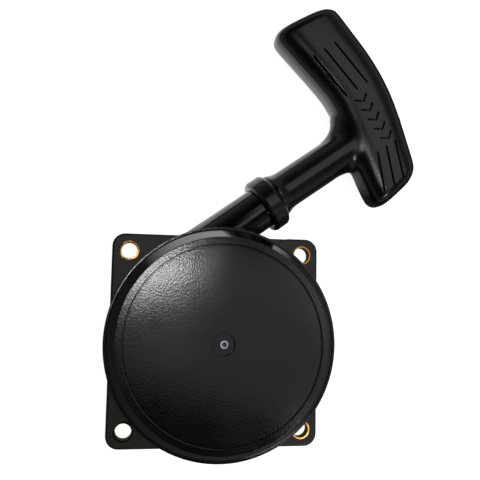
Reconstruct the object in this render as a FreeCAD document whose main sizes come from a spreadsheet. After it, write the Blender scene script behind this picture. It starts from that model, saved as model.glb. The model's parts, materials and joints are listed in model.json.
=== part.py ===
import FreeCAD, Part
import math
import os

import Sketcher
from FreeCAD import Placement, Rotation, Vector

# Recoil starter for a small two-stroke engine.
# Frame: origin in the middle of the flange's mounting face, +Z out of the domed case,
# away from the engine. The mounting flange is square to X and Y. The rope leaves the
# reel at a tangent and runs in a straight line through the tube to the grip.

os.makedirs("parts", exist_ok=True)
doc = FreeCAD.newDocument("recoil_starter")
sheet = doc.addObject("Spreadsheet::Sheet", "Sizes")

driving = {
    # mounting flange
    "flangeSide": 90.6,
    "flangeThickness": 5.0,
    "flangeCorner": 5.5,
    "flangeEdgeRound": 0.9,
    "footRound": 0.8,
    "boltPitch": 76.0,
    "bushBore": 7.0,
    "bushOutside": 8.6,
    "bushHeight": 5.3,
    "stepDepth": 2.5,
    "stepOffset": 18.1,
    # domed case
    "drumRadius": 46.8,
    "drumHeight": 33.0,
    "ledgeHeight": 26.0,
    "shoulderRadius": 42.3,
    "ledgeWidth": 0.9,
    "ringInside": 39.4,
    "rimRound": 0.3,
    "discDrop": 0.4,
    "grooveDepth": 0.35,
    "lipHeight": 0.2,
    "wall": 2.8,
    "roof": 3.0,
    "recessRadius": 4.1,
    "recessDepth": 1.3,
    "ribInside": 36.2,
    "ribBottom": 20.0,
    # rope, tube and collar
    "ropeDiameter": 3.5,
    "ropeLevel": 14.0,
    "ropeRadius": 36.25,
    "ropeAngle": 36.0,
    "turnPitch": 3.6,
    "tubeOutside": 18.4,
    "tubeBore": 12.0,
    "tubeEnd": 50.0,
    "collarStart": 47.0,
    "collarEnd": 55.0,
    "collarOutside": 24.1,
    "eyeletBore": 4.6,
    "eyeletOutside": 10.0,
    # centre post, bush, screw
    "postRadius": 5.5,
    "postBottom": 4.6,
    "postFlange": 9.0,
    "postShoulder": 28.0,
    "noseRadius": 1.95,
    "noseHole": 0.9,
    "screwRadius": 2.5,
    "screwHead": 5.0,
    "screwHeadHeight": 2.9,
    "washerRadius": 8.0,
    "washerThickness": 1.2,
    "runningGap": 0.06,
    # reel
    "reelRadius": 41.0,
    "reelBottom": 10.0,
    "reelTop": 18.4,
    "grooveFloor": 20.0,
    "grooveWidth": 3.9,
    "hubRadius": 11.0,
    "hubBottom": 8.0,
    "hubTop": 27.8,
    "bushWall": 2.0,
    "bushBottom": 11.0,
    # recoil spring and its cassette
    "springStrip": 0.5,
    "springWidth": 7.0,
    "springBottom": 21.2,
    "springInside": 12.2,
    "springPitch": 1.6,
    "cassetteOutside": 36.1,
    "cassetteBottom": 19.4,
    "cassetteTop": 29.9,
    "cassetteSheet": 0.8,
    "cassetteHole": 12.5,
    # pawls and their guide
    "pawlPivot": 17.0,
    "pawlPinRadius": 2.0,
    "pawlBottom": 6.3,
    "pawlThickness": 3.2,
    "pegRadius": 1.3,
    "guideBottom": 4.65,
    "guideThickness": 1.2,
    "guideRadius": 25.6,
    "guideWidth": 22.0,
    "pawlSwing": 38.0,
    "guideTurn": 30.0,
    # grip
    "gripDepth": 19.0,
    "gripEdgeRound": 5.0,
    "gripTilt": 0.6,
    "gripPivot": 110.0,
    "stemRadius": 8.35,
    "stemStart": 55.3,
    "stemBore": 3.3,
    "washerHole": 2.1,
    "pocketRadius": 5.6,
    "pocketFloor": 106.0,
    "knotStart": 107.04,
    "engraving": 0.7,
}


# A size is a number together with the sheet formula that gives it.
class Size:
    def __init__(self, value, formula):
        self.value = value
        self.formula = formula

    def __add__(self, other):
        other = asSize(other)
        return Size(self.value + other.value, f"({self.formula} + {other.formula})")

    def __sub__(self, other):
        other = asSize(other)
        return Size(self.value - other.value, f"({self.formula} - {other.formula})")

    def __mul__(self, other):
        other = asSize(other)
        return Size(self.value * other.value, f"({self.formula} * {other.formula})")

    def __truediv__(self, other):
        other = asSize(other)
        return Size(self.value / other.value, f"({self.formula} / {other.formula})")

    def __neg__(self):
        return Size(-self.value, f"(-{self.formula})")


def asSize(number):
    if isinstance(number, Size):
        return number
    return Size(float(number), f"{float(number)}")


def size(alias):
    return Size(driving[alias], f"Sizes.{alias}")


def fillSheet():
    for row, (alias, number) in enumerate(driving.items(), start=1):
        sheet.set(f"A{row}", alias)
        sheet.set(f"B{row}", str(number))
        sheet.setAlias(f"B{row}", alias)
    doc.recompute()


def bind(thing, name, amount):
    amount = asSize(amount)
    setattr(thing, name, amount.value)
    thing.setExpression(name, amount.formula)


fillSheet()

ropeAngle = math.radians(driving["ropeAngle"])
along = Vector(math.cos(ropeAngle), math.sin(ropeAngle), 0)
across = Vector(-math.sin(ropeAngle), math.cos(ropeAngle), 0)
# Local frame of everything on the rope's line: x along the rope, y outwards, z up.
ropeFrame = Placement(
    across * driving["ropeRadius"] + Vector(0, 0, driving["ropeLevel"]),
    Rotation(Vector(0, 0, 1), driving["ropeAngle"]),
)

# The grip hangs on the rope with a little tilt, about the place where its knot sits.
gripPivot = Vector(driving["gripPivot"], 0, 0)
tilt = Placement(Vector(0, 0, 0), Rotation(Vector(0, 0, 1), -driving["gripTilt"]), gripPivot)
gripFrame = ropeFrame.multiply(tilt)


# ---- sketch helpers ----

def newBody(label, placement=Placement()):
    body = doc.addObject("PartDesign::Body", label)
    body.Label = label
    body.Placement = placement
    return body


def newSketch(body, role, name, offset=Placement()):
    plane = [part for part in body.Origin.OriginFeatures if part.Role == role][0]
    sketch = body.newObject("Sketcher::SketchObject", name)
    sketch.AttachmentSupport = [(plane, "")]
    sketch.MapMode = "FlatFace"
    sketch.AttachmentOffset = offset
    return sketch


def bindDatum(sketch, constraint, amount):
    index = sketch.addConstraint(constraint)
    sketch.setExpression(f"Constraints[{index}]", amount.formula)


# A closed outline of straight lines whose corners are all tied to the sheet.
def polygon(sketch, corners):
    corners = [(asSize(x), asSize(y)) for x, y in corners]
    first = sketch.GeometryCount
    count = len(corners)
    for here, there in zip(corners, corners[1:] + corners[:1]):
        start = Vector(here[0].value, here[1].value, 0)
        end = Vector(there[0].value, there[1].value, 0)
        sketch.addGeometry(Part.LineSegment(start, end), False)
    for side in range(count):
        after = first + (side + 1) % count
        sketch.addConstraint(Sketcher.Constraint("Coincident", first + side, 2, after, 1))
    for side, (x, y) in enumerate(corners):
        edge = first + side
        bindDatum(sketch, Sketcher.Constraint("DistanceX", -1, 1, edge, 1, x.value), x)
        bindDatum(sketch, Sketcher.Constraint("DistanceY", -1, 1, edge, 1, y.value), y)


def circle(sketch, x, y, radius):
    x, y, radius = asSize(x), asSize(y), asSize(radius)
    centre = Vector(x.value, y.value, 0)
    ring = sketch.addGeometry(Part.Circle(centre, Vector(0, 0, 1), radius.value), False)
    bindDatum(sketch, Sketcher.Constraint("DistanceX", -1, 1, ring, 3, x.value), x)
    bindDatum(sketch, Sketcher.Constraint("DistanceY", -1, 1, ring, 3, y.value), y)
    bindDatum(sketch, Sketcher.Constraint("Radius", ring, radius.value), radius)


# A closed outline of straight runs joined by tangent arcs, from (x, y, corner radius).
def roundedEdges(corners):
    runs = []
    count = len(corners)
    for index in range(count):
        before = Vector(*corners[index - 1][:2], 0)
        corner = Vector(*corners[index][:2], 0)
        after = Vector(*corners[(index + 1) % count][:2], 0)
        radius = corners[index][2]
        toBefore = (before - corner).normalize()
        toAfter = (after - corner).normalize()
        half = toBefore.getAngle(toAfter) / 2
        reach = radius / math.tan(half)
        middle = (toBefore + toAfter).normalize()
        tip = corner + middle * (radius / math.sin(half) - radius)
        runs.append((corner + toBefore * reach, tip, corner + toAfter * reach))
    edges = []
    for index, (start, tip, end) in enumerate(runs):
        edges.append(Part.Arc(start, tip, end))
        edges.append(Part.LineSegment(end, runs[(index + 1) % count][0]))
    return edges


def pad(body, sketch, length, name, midplane=False):
    feature = body.newObject("PartDesign::Pad", name)
    feature.Profile = sketch
    bind(feature, "Length", length)
    feature.Midplane = midplane
    return feature


def cut(body, sketch, length, name, reversed_=False):
    before = body.Shape.Volume
    feature = body.newObject("PartDesign::Pocket", name)
    feature.Profile = sketch
    bind(feature, "Length", length)
    feature.Reversed = reversed_
    doc.recompute()
    if body.Shape.Volume > before - 0.01:
        raise RuntimeError(f"{body.Label}: {name} cuts nothing")
    return feature


def turn(body, sketch, axis, name="Revolution", remove=False):
    before = body.Shape.Volume if remove else 0
    kind = "PartDesign::Groove" if remove else "PartDesign::Revolution"
    feature = body.newObject(kind, name)
    feature.Profile = sketch
    feature.ReferenceAxis = (sketch, [axis])
    feature.Angle = 360
    doc.recompute()
    if remove and body.Shape.Volume > before - 0.01:
        raise RuntimeError(f"{body.Label}: {name} cuts nothing")
    return feature


def roundEdges(body, feature, radius, chosen, name):
    doc.recompute()
    edges = [f"Edge{n}" for n, edge in enumerate(feature.Shape.Edges, start=1) if chosen(edge)]
    rounding = body.newObject("PartDesign::Fillet", name)
    rounding.Base = (feature, edges)
    bind(rounding, "Radius", radius)
    doc.recompute()
    return rounding


# A piece turned about Z: outline points are (radius, height).
def turnedUpright(label, outline):
    body = newBody(label)
    sketch = newSketch(body, "XZ_Plane", f"{label}_profile")
    polygon(sketch, outline)
    turn(body, sketch, "V_Axis")
    return body


# A piece turned about the rope's line: outline points are (distance along, radius).
def turnedOnRope(label, outline, frame=ropeFrame):
    body = newBody(label, frame)
    sketch = newSketch(body, "XY_Plane", f"{label}_profile")
    polygon(sketch, outline)
    turn(body, sketch, "H_Axis")
    return body


# A finished shape worked out in code, kept as one object of the document.
def shaped(label, shape, placement=Placement()):
    feature = doc.addObject("Part::Feature", label)
    feature.Label = label
    feature.Shape = shape
    feature.Placement = placement
    return feature


def isUpright(edge):
    tangent = edge.tangentAt(edge.FirstParameter)
    return edge.Curve.TypeId == "Part::GeomLine" and abs(tangent.z) > 0.999


def isLevelAt(height):
    def test(edge):
        box = edge.BoundBox
        return abs(box.ZMin - height) < 0.001 and abs(box.ZMax - height) < 0.001
    return test


# ---- case ----

def flangeOutline(body):
    half = size("flangeSide") / 2
    plan = newSketch(body, "XY_Plane", "flange_plan")
    polygon(plan, [(-half, -half), (half, -half), (half, half), (-half, half)])
    flange = pad(body, plan, size("flangeThickness"), "Flange")
    corners = roundEdges(body, flange, size("flangeCorner"), isUpright, "FlangeCorners")
    topLevel = isLevelAt(driving["flangeThickness"])
    roundEdges(body, corners, size("flangeEdgeRound"), topLevel, "FlangeTopEdge")


# The flange is thinner beside the tube, up to a line parallel to the rope.
def flangeStep(body):
    offset = Placement(Vector(0, 0, driving["flangeThickness"]), Rotation())
    plan = newSketch(body, "XY_Plane", "step_plan", offset)
    inner = across * (driving["ropeRadius"] - driving["stepOffset"])
    farOut = across * driving["flangeSide"]
    near = along * 18.0
    far = along * driving["flangeSide"]
    points = [inner + near, inner + far, farOut + far, farOut + near]
    for here, there in zip(points, points[1:] + points[:1]):
        plan.addGeometry(Part.LineSegment(here, there), False)
    cut(body, plan, size("stepDepth"), "FlangeStep")


# From the axis outwards: recess with a fine lip, disc, groove, raised ring, steep shoulder
# and a narrow ledge on top of the drum's wall.
def drumOutline():
    top = size("drumHeight")
    outer = size("drumRadius")
    ring = size("ringInside")
    disc = top - size("discDrop")
    recess = size("recessRadius")
    lip = disc + size("lipHeight")
    groove = disc - size("grooveDepth")
    return [
        (0, 0), (outer, 0), (outer, size("ledgeHeight")),
        (outer - size("ledgeWidth"), size("ledgeHeight")), (size("shoulderRadius"), top), (ring, top),
        (ring - 0.15, groove), (ring - 0.4, groove), (ring - 0.6, disc),
        (recess + 0.7, disc), (recess + 0.45, lip), (recess + 0.15, lip),
        (recess, disc - size("recessDepth")), (0, disc - size("recessDepth")),
    ]


def cavityOutline():
    ceiling = size("drumHeight") - size("roof")
    inside = size("drumRadius") - size("wall")
    rib = size("ribInside")
    nose = size("noseRadius")
    return [
        (0, -1), (inside, -1), (inside, ceiling - 4.5), (inside - 1.2, ceiling - 1.6),
        (inside - 3.6, ceiling), (rib + 2.2, ceiling), (rib + 2.2, size("ribBottom")),
        (rib, size("ribBottom")), (rib, ceiling), (nose, ceiling),
        (nose, size("drumHeight") + 1), (0, size("drumHeight") + 1),
    ]


# A plane square to the rope's line through the origin, x outwards and y up.
def ropePlane():
    return Placement(Vector(0, 0, 0), Rotation(Vector(0, 1, 0), driving["ropeAngle"]))


# The corner between the flange's face and the drum's wall.
def isDrumFoot(edge):
    if not isLevelAt(driving["flangeThickness"])(edge):
        return False
    return edge.Curve.TypeId == "Part::GeomCircle" and edge.Curve.Radius > driving["drumRadius"] - 0.01


# The curve where the tube's wall meets the drum's wall.
def isTubeFoot(edge):
    middle = edge.valueAt((edge.FirstParameter + edge.LastParameter) / 2)
    radius = math.hypot(middle.x, middle.y)
    fromRope = math.hypot(middle.dot(across) - driving["ropeRadius"], middle.z - driving["ropeLevel"])
    onDrum = abs(radius - driving["drumRadius"]) < 0.01
    return onDrum and abs(fromRope - driving["tubeOutside"] / 2) < 0.01


def makeCase():
    body = newBody("starter_case")
    flangeOutline(body)
    flangeStep(body)
    profile = newSketch(body, "XZ_Plane", "drum_profile")
    polygon(profile, drumOutline())
    drum = turn(body, profile, "V_Axis", "Drum")
    rims = [isLevelAt(driving["ledgeHeight"]), isLevelAt(driving["drumHeight"])]
    rounded = roundEdges(body, drum, size("rimRound"),
                         lambda edge: any(test(edge) for test in rims), "Rims")
    roundEdges(body, rounded, size("footRound"), isDrumFoot, "DrumFoot")

    section = newSketch(body, "YZ_Plane", "tube_section", ropePlane())
    circle(section, size("ropeRadius"), size("ropeLevel"), size("tubeOutside") / 2)
    tube = pad(body, section, size("tubeEnd"), "Tube")
    roundEdges(body, tube, size("footRound"), isTubeFoot, "TubeFoot")

    cavity = newSketch(body, "XZ_Plane", "cavity_profile")
    polygon(cavity, cavityOutline())
    turn(body, cavity, "V_Axis", "Cavity", remove=True)

    bore = newSketch(body, "YZ_Plane", "tube_bore", ropePlane())
    circle(bore, size("ropeRadius"), size("ropeLevel"), size("tubeBore") / 2)
    cut(body, bore, size("tubeEnd") + 1, "TubeBore", reversed_=True)

    holes = newSketch(body, "XY_Plane", "bolt_plan")
    for x in (-1, 1):
        for y in (-1, 1):
            centre = size("boltPitch") / 2
            circle(holes, centre * x, centre * y, size("bushOutside") / 2)
    cut(body, holes, size("flangeThickness") + 1, "BushHoles", reversed_=True)
    return body


# Four brass bushes with a ribbed outside, moulded into the flange.
def makeFlangeBushes():
    outer = driving["bushOutside"] / 2
    bore = driving["bushBore"] / 2
    height = driving["bushHeight"]
    ribs = 32
    grooveDepth = 0.26
    chamfer = 0.15
    blank = Part.makeCylinder(outer, height)
    edges = [edge for edge in blank.Edges if edge.Closed]
    blank = blank.makeChamfer(chamfer, edges)
    tools = [Part.makeCylinder(bore, height)]
    for rib in range(ribs):
        angle = 2 * math.pi * rib / ribs
        middle = Vector(outer * math.cos(angle), outer * math.sin(angle), 0)
        tools.append(Part.makeCylinder(grooveDepth, height, middle))
    bush = blank.cut(tools)
    half = driving["boltPitch"] / 2
    copies = []
    for x in (-half, half):
        for y in (-half, half):
            copy = bush.copy()
            copy.translate(Vector(x, y, 0))
            copies.append(copy)
    shaped("flange_bushes", Part.makeCompound(copies))


# ---- centre post, screw and washer ----

def makePost():
    nose = size("noseRadius")
    hole = size("noseHole")
    radius = size("postRadius")
    ceiling = size("drumHeight") - size("roof")
    top = size("drumHeight") - size("discDrop") - size("recessDepth") + 0.6
    bottom = size("postBottom")
    turnedUpright("centre_post", [
        (size("screwRadius"), bottom), (radius - 0.4, bottom), (radius, bottom + 0.4),
        (radius, size("postShoulder")), (size("postFlange"), size("postShoulder")),
        (size("postFlange"), ceiling), (nose, ceiling), (nose, top - 0.3),
        (nose - 0.3, top), (hole, top), (hole, top - 1.4), (0, top - 1.8),
        (0, bottom + 13.5), (size("screwRadius"), bottom + 12.5),
    ])


def makeRetainer():
    bottom = size("postBottom") - size("washerThickness")
    turnedUpright("retaining_washer", [
        (size("screwRadius") + 0.15, bottom), (size("washerRadius") - 0.2, bottom),
        (size("washerRadius"), bottom + 0.2), (size("washerRadius"), size("postBottom")),
        (size("screwRadius") + 0.15, size("postBottom")),
    ])
    head = size("screwHead")
    low = bottom - size("screwHeadHeight")
    body = turnedUpright("retaining_screw", [
        (0, low), (head - 1.6, low), (head - 0.5, low + 0.8), (head, low + 2.0),
        (head, bottom), (size("screwRadius"), bottom),
        (size("screwRadius"), size("postBottom") + 11), (size("screwRadius") - 0.7, size("postBottom") + 12),
        (0, size("postBottom") + 12),
    ])
    # cross recess, open towards the engine
    recess = newSketch(body, "XY_Plane", "cross_recess",
                       Placement(Vector(0, 0, low.value), Rotation()))
    arm = 2.9
    half = 0.55
    polygon(recess, [
        (-arm, -half), (-half, -half), (-half, -arm), (half, -arm), (half, -half), (arm, -half),
        (arm, half), (half, half), (half, arm), (-half, arm), (-half, half), (-arm, half),
    ])
    cut(body, recess, 1.9, "CrossRecess", reversed_=True)


# ---- reel, rope and bush ----

def makeReel():
    body = newBody("rope_reel")
    bore = size("postRadius") + size("bushWall")
    low = size("ropeLevel") - size("grooveWidth") / 2
    high = size("ropeLevel") + size("grooveWidth") / 2
    rim = size("reelRadius")
    hub = size("hubRadius")
    profile = newSketch(body, "XZ_Plane", "reel_profile")
    polygon(profile, [
        (bore, size("hubBottom")), (hub, size("hubBottom")), (hub, size("reelBottom")),
        (rim - 0.4, size("reelBottom")), (rim, size("reelBottom") + 0.4), (rim, low - 0.5),
        (rim - 1.5, low), (size("grooveFloor"), low), (size("grooveFloor"), high),
        (rim - 1.5, high), (rim, high + 0.5), (rim, size("reelTop") - 0.4),
        (rim - 0.4, size("reelTop")), (hub, size("reelTop")), (hub, size("hubTop")),
        (bore, size("hubTop")),
    ])
    turn(body, profile, "V_Axis", "Reel")

    # shallow sector pockets between ribs on the side that faces the engine
    inner = 27.0
    outer = 39.0
    depth = 1.1
    half = math.radians(360 / 12 / 2 - 3.0)
    underside = Placement(Vector(0, 0, driving["reelBottom"]), Rotation())
    sector = newSketch(body, "XY_Plane", "rib_pocket", underside)
    left = [Vector(r * math.cos(half), r * math.sin(half), 0) for r in (inner, outer)]
    right = [Vector(r * math.cos(half), -r * math.sin(half), 0) for r in (inner, outer)]
    sector.addGeometry(Part.Arc(left[1], Vector(outer, 0, 0), right[1]), False)
    sector.addGeometry(Part.LineSegment(right[1], right[0]), False)
    sector.addGeometry(Part.Arc(right[0], Vector(inner, 0, 0), left[0]), False)
    sector.addGeometry(Part.LineSegment(left[0], left[1]), False)
    pocket = cut(body, sector, depth, "RibPocket", reversed_=True)
    around = body.newObject("PartDesign::PolarPattern", "RibPockets")
    around.Originals = [pocket]
    around.Axis = (sector, ["N_Axis"])
    around.Angle = 360
    around.Occurrences = 12
    body.Tip = around
    doc.recompute()

    # slot where the rope's end turns in to its knot, and two holes for the pawl pins
    slot = newSketch(body, "XY_Plane", "knot_slot", underside)
    outerEnd = across * innerTurnRadius() + along * 0.5
    for edge in roundedEdges(slotCorners(outerEnd, knotMiddle(), 6.6)):
        slot.addGeometry(edge, False)
    cut(body, slot, size("ropeLevel") + 2.6 - size("reelBottom"), "KnotSlot", reversed_=True)
    pins = newSketch(body, "XY_Plane", "pin_plan", underside)
    for side in (-1, 1):
        circle(pins, 0, size("pawlPivot") * side, size("pawlPinRadius"))
    cut(body, pins, 6, "PinHoles", reversed_=True)
    return body


# The rope's inner turn ends here, bends in towards the hub and is knotted.
halfTurns = 8
bendRadius = 9.0
bendAngle = 60.0


def innerTurnRadius():
    return driving["ropeRadius"] - halfTurns * driving["turnPitch"] / 2


def knotMiddle():
    turned = Rotation(Vector(0, 0, 1), bendAngle)
    bendCentre = across * (innerTurnRadius() - bendRadius)
    return bendCentre + turned.multVec(across * bendRadius - along * 1.2)


# Corners of a slot of the given width between two points, with round ends.
def slotCorners(start, end, width):
    direction = (end - start).normalize()
    side = Vector(-direction.y, direction.x, 0) * (width / 2)
    ends = direction * (width / 2)
    points = [start - ends - side, end + ends - side, end + ends + side, start - ends + side]
    return [(point.x, point.y, width / 2 - 0.01) for point in points]


def makeReelBush():
    bore = size("postRadius") + size("runningGap")
    outside = size("postRadius") + size("bushWall")
    turnedUpright("reel_bush", [
        (bore, size("bushBottom")), (outside, size("bushBottom")),
        (outside, size("hubTop")), (bore, size("hubTop")),
    ])


# The rope lies in one flat spiral of half turns, each a little smaller than the last.
def makeRopeWinding():
    section = driving["ropeDiameter"] / 2
    level = Vector(0, 0, driving["ropeLevel"])
    pitch = driving["turnPitch"]
    pieces = []
    radius = driving["ropeRadius"]
    total = math.radians(bendAngle) * bendRadius
    for turnNumber in range(halfTurns):
        outward = 1 if turnNumber % 2 == 0 else -1
        centre = level - across * (0 if outward == 1 else pitch / 2)
        start = centre + across * (outward * radius)
        disc = Part.Face(Part.Wire(Part.Circle(start, along, section).toShape()))
        pieces.append(disc.revolve(centre, Vector(0, 0, 1), 180))
        total += math.pi * radius
        radius -= pitch / 2
    innerEnd = level + across * radius
    disc = Part.Face(Part.Wire(Part.Circle(innerEnd, along, section).toShape()))
    pieces.append(disc.revolve(innerEnd - across * bendRadius, Vector(0, 0, 1), bendAngle))
    pieces.append(Part.makeSphere(2.3, level + knotMiddle()))
    winding = pieces[0].multiFuse(pieces[1:]).removeSplitter()
    shaped("rope_winding", winding)
    print("rope on the reel", round(total, 1), "mm")


def makeThrustWasher():
    top = size("postShoulder")
    turnedUpright("thrust_washer", [
        (size("postRadius") + 0.1, top - 0.18), (size("hubRadius") - 0.5, top - 0.18),
        (size("hubRadius") - 0.5, top), (size("postRadius") + 0.1, top),
    ])


# ---- recoil spring and cassette ----

def makeCassette():
    outside = size("cassetteOutside")
    sheetMetal = size("cassetteSheet")
    turnedUpright("spring_cassette", [
        (size("cassetteHole"), size("cassetteBottom")), (outside - 0.6, size("cassetteBottom")),
        (outside, size("cassetteBottom") + 0.6), (outside, size("cassetteTop")),
        (outside - sheetMetal, size("cassetteTop")),
        (outside - sheetMetal, size("cassetteBottom") + sheetMetal),
        (size("cassetteHole"), size("cassetteBottom") + sheetMetal),
    ])


# A flat spiral of steel strip, made of half rings that grow by half a pitch each time.
def makeRecoilSpring():
    strip = driving["springStrip"] / 2
    pitch = driving["springPitch"]
    halfTurns = 27
    pieces = []
    for turnNumber in range(halfTurns):
        sign = 1 if turnNumber % 2 == 0 else -1
        centre = Vector(0 if sign == 1 else -pitch / 2, 0, driving["springBottom"])
        radius = driving["springInside"] + strip + turnNumber * pitch / 2
        near = centre + Vector(sign * (radius - strip), 0, 0)
        far = centre + Vector(sign * (radius + strip), 0, 0)
        width = Vector(0, 0, driving["springWidth"])
        section = Part.Face(Part.makePolygon([near, far, far + width, near + width, near]))
        pieces.append(section.revolve(centre, Vector(0, 0, 1), 180))
    shaped("recoil_spring", pieces[0].multiFuse(pieces[1:]).removeSplitter())


# ---- pawls and guide ----

# The peg that reaches down into the guide, from the pawl's pivot.
pawlPeg = Vector(8.4, -0.8, 0)


# A steel pawl that lies along the reel's turning direction and swings outwards.
def makePawl(label, halfTurned):
    thickness = driving["pawlThickness"]
    pivot = Vector(0, driving["pawlPivot"], driving["pawlBottom"])
    eye = 4.1
    tip = 1.5
    outline = [(-eye, eye, 3.3), (6.5, 2.6, 9.0), (13.4 + tip, -0.4, 0.7),
               (13.4 + tip - 0.6, -3.4, 0.7), (5.5, -4.3, 9.0), (-eye, -eye, 3.3)]
    face = Part.Face(Part.Wire([edge.toShape() for edge in roundedEdges(outline)]))
    blank = face.extrude(Vector(0, 0, thickness))
    bore = Part.makeCylinder(driving["pawlPinRadius"] + driving["runningGap"], thickness)
    pegLength = driving["pawlBottom"] - driving["guideBottom"] + 0.4
    peg = Part.makeCylinder(driving["pegRadius"], pegLength + 1, pawlPeg - Vector(0, 0, pegLength))
    pawl = blank.cut(bore).fuse(peg).removeSplitter()
    placement = Placement(pivot, Rotation())
    if halfTurned:
        placement = Placement(Vector(0, 0, 0), Rotation(Vector(0, 0, 1), 180)).multiply(placement)
    shaped(label, pawl, placement)


def makePawlPins():
    pins = []
    for side in (-1, 1):
        base = Vector(0, driving["pawlPivot"] * side, driving["pawlBottom"])
        pins.append(Part.makeCylinder(driving["pawlPinRadius"], 9.6, base))
    shaped("pawl_pins", Part.makeCompound(pins))


# Where a pawl's peg is, in the guide's own frame, from rest (0) to full swing (1).
def pegInGuide(travel):
    swing = Rotation(Vector(0, 0, 1), driving["pawlSwing"] * travel)
    back = Rotation(Vector(0, 0, 1), -driving["guideTurn"] * travel)
    return back.multVec(Vector(0, driving["pawlPivot"], 0) + swing.multVec(pawlPeg))


def makeGuide():
    low = driving["guideBottom"]
    thickness = driving["guideThickness"]
    slotRadius = driving["pegRadius"] + 0.35
    lengthwise = math.atan2(pegInGuide(0.5).y, pegInGuide(0.5).x)
    disc = Part.makeCylinder(driving["guideRadius"], thickness, Vector(0, 0, low))
    width = driving["guideWidth"]
    bar = Part.makeBox(80, width, thickness, Vector(-40, -width / 2, low))
    bar.rotate(Vector(0, 0, 0), Vector(0, 0, 1), math.degrees(lengthwise))
    plate = disc.common(bar)
    start, middle, end = (pegInGuide(travel) for travel in (0.0, 0.5, 1.0))
    path = Part.Arc(start, middle, end)
    centre = path.toShape().Curve.Center
    pathRadius = path.toShape().Curve.Radius
    slotEdges = []
    for reach in (pathRadius + slotRadius, pathRadius - slotRadius):
        points = [centre + (point - centre).normalize() * reach for point in (start, middle, end)]
        slotEdges.append(Part.Arc(*points).toShape())
    for point in (start, end):
        radial = (point - centre).normalize() * slotRadius
        beyond = (point - middle).normalize() * slotRadius
        beyond = beyond - radial * (beyond.dot(radial) / slotRadius ** 2)
        beyond = beyond.normalize() * slotRadius
        slotEdges.append(Part.Arc(point + radial, point + beyond, point - radial).toShape())
    slotFace = Part.Face(Part.Wire(Part.__sortEdges__(slotEdges)))
    slot = slotFace.extrude(Vector(0, 0, thickness))
    slot.translate(Vector(0, 0, low))
    otherSlot = slot.copy()
    otherSlot.rotate(Vector(0, 0, 0), Vector(0, 0, 1), 180)
    boreRadius = driving["postRadius"] + driving["runningGap"]
    bore = Part.makeCylinder(boreRadius, thickness, Vector(0, 0, low))
    shaped("pawl_guide", plate.cut([slot, otherSlot, bore]))


def makeFrictionSpring():
    wire = 0.8
    meanRadius = 6.65
    low = driving["guideBottom"] + driving["guideThickness"]
    high = driving["bushBottom"]
    height = high - low - wire - 0.16
    helix = Part.makeHelix(height / 3, height, meanRadius)
    helix.translate(Vector(0, 0, low + wire / 2 + 0.08))
    start = Vector(meanRadius, 0, low + wire / 2 + 0.08)
    section = Part.Wire(Part.Circle(start, Vector(0, 1, 0), wire / 2).toShape())
    coil = Part.Wire(helix).makePipeShell([section], True, True)
    shaped("friction_spring", coil)


# ---- rope exit ----

def makeCollar():
    tube = size("tubeOutside") / 2
    outer = size("collarOutside") / 2
    start = size("collarStart")
    end = size("collarEnd")
    tubeEnd = size("tubeEnd")
    eyelet = size("eyeletOutside") / 2
    turnedOnRope("rope_guide", [
        (start, tube), (start, outer - 1.4), (start + 0.5, outer - 0.5), (start + 1.5, outer),
        (end - 1.7, outer), (end - 0.7, outer - 0.4), (end, outer - 1.3), (end, eyelet),
        (tubeEnd, eyelet), (tubeEnd, tube),
    ])


def makeEyelet():
    start = size("tubeEnd")
    end = size("collarEnd")
    outer = size("eyeletOutside") / 2
    bore = size("eyeletBore") / 2
    turnedOnRope("rope_eyelet", [
        (start - 0.8, bore + 1.6), (start - 0.8, size("tubeBore") / 2), (start, size("tubeBore") / 2),
        (start, outer), (end, outer), (end, bore + 1.5), (end - 0.8, bore + 0.5),
        (end - 2.0, bore), (start + 1.2, bore), (start, bore + 0.5),
    ])


# ---- grip ----

# Outline of the T-bar: x along the rope, y across it, then the corner radius. The last
# four corners make the neck, whose sides run into the stem.
gripCorners = [
    (99.6, 21.0, 32.0), (93.8, 60.6, 6.5), (126.4, 57.6, 7.0), (129.3, 15.0, 105.0),
    (115.4, -27.0, 12.0), (88.9, -30.6, 7.0), (91.7, -11.0, 4.5), (83.0, -8.2, 5.4),
    (83.0, 8.2, 5.4), (97.2, 10.0, 4.5),
]


def makeGrip():
    body = newBody("grip", gripFrame)
    plan = newSketch(body, "XY_Plane", "bar_plan")
    for edge in roundedEdges(gripCorners):
        plan.addGeometry(edge, False)
    bar = pad(body, plan, size("gripDepth"), "Bar", midplane=True)
    doc.recompute()
    half = driving["gripDepth"] / 2
    outline = [isLevelAt(half), isLevelAt(-half)]
    roundEdges(body, bar, size("gripEdgeRound"),
               lambda edge: any(test(edge) for test in outline), "BarEdges")

    stem = newSketch(body, "XY_Plane", "stem_profile")
    radius = size("stemRadius")
    start = size("stemStart")
    polygon(stem, [
        (start, 0), (start, radius + 1.2), (start + 0.3, radius + 1.5), (start + 1.2, radius + 1.4),
        (start + 2.6, radius + 0.8), (start + 4.6, radius + 0.2), (start + 7.0, radius),
        (100.0, radius), (100.0, 0),
    ])
    turn(body, stem, "H_Axis", "Stem")

    bore = newSketch(body, "XY_Plane", "bore_profile")
    pocket = size("pocketFloor")
    polygon(bore, [
        (start - 1, 0), (start - 1, size("stemBore")), (pocket, size("stemBore")),
        (pocket, size("pocketRadius")), (pocket + 30, size("pocketRadius")), (pocket + 30, 0),
    ])
    turn(body, bore, "H_Axis", "RopeBore", remove=True)

    face = Placement(Vector(0, 0, half), Rotation())
    marks = newSketch(body, "XY_Plane", "engraved_lines", face)
    for start, end in engravedLines():
        for edge in roundedEdges(slotCorners(start, end, 0.9)):
            marks.addGeometry(edge, False)
    for number in range(5):
        chevron(marks, Vector(110.4, 14.8 - 4.9 * number, 0))
    cut(body, marks, size("engraving"), "EngravedLines")


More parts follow.
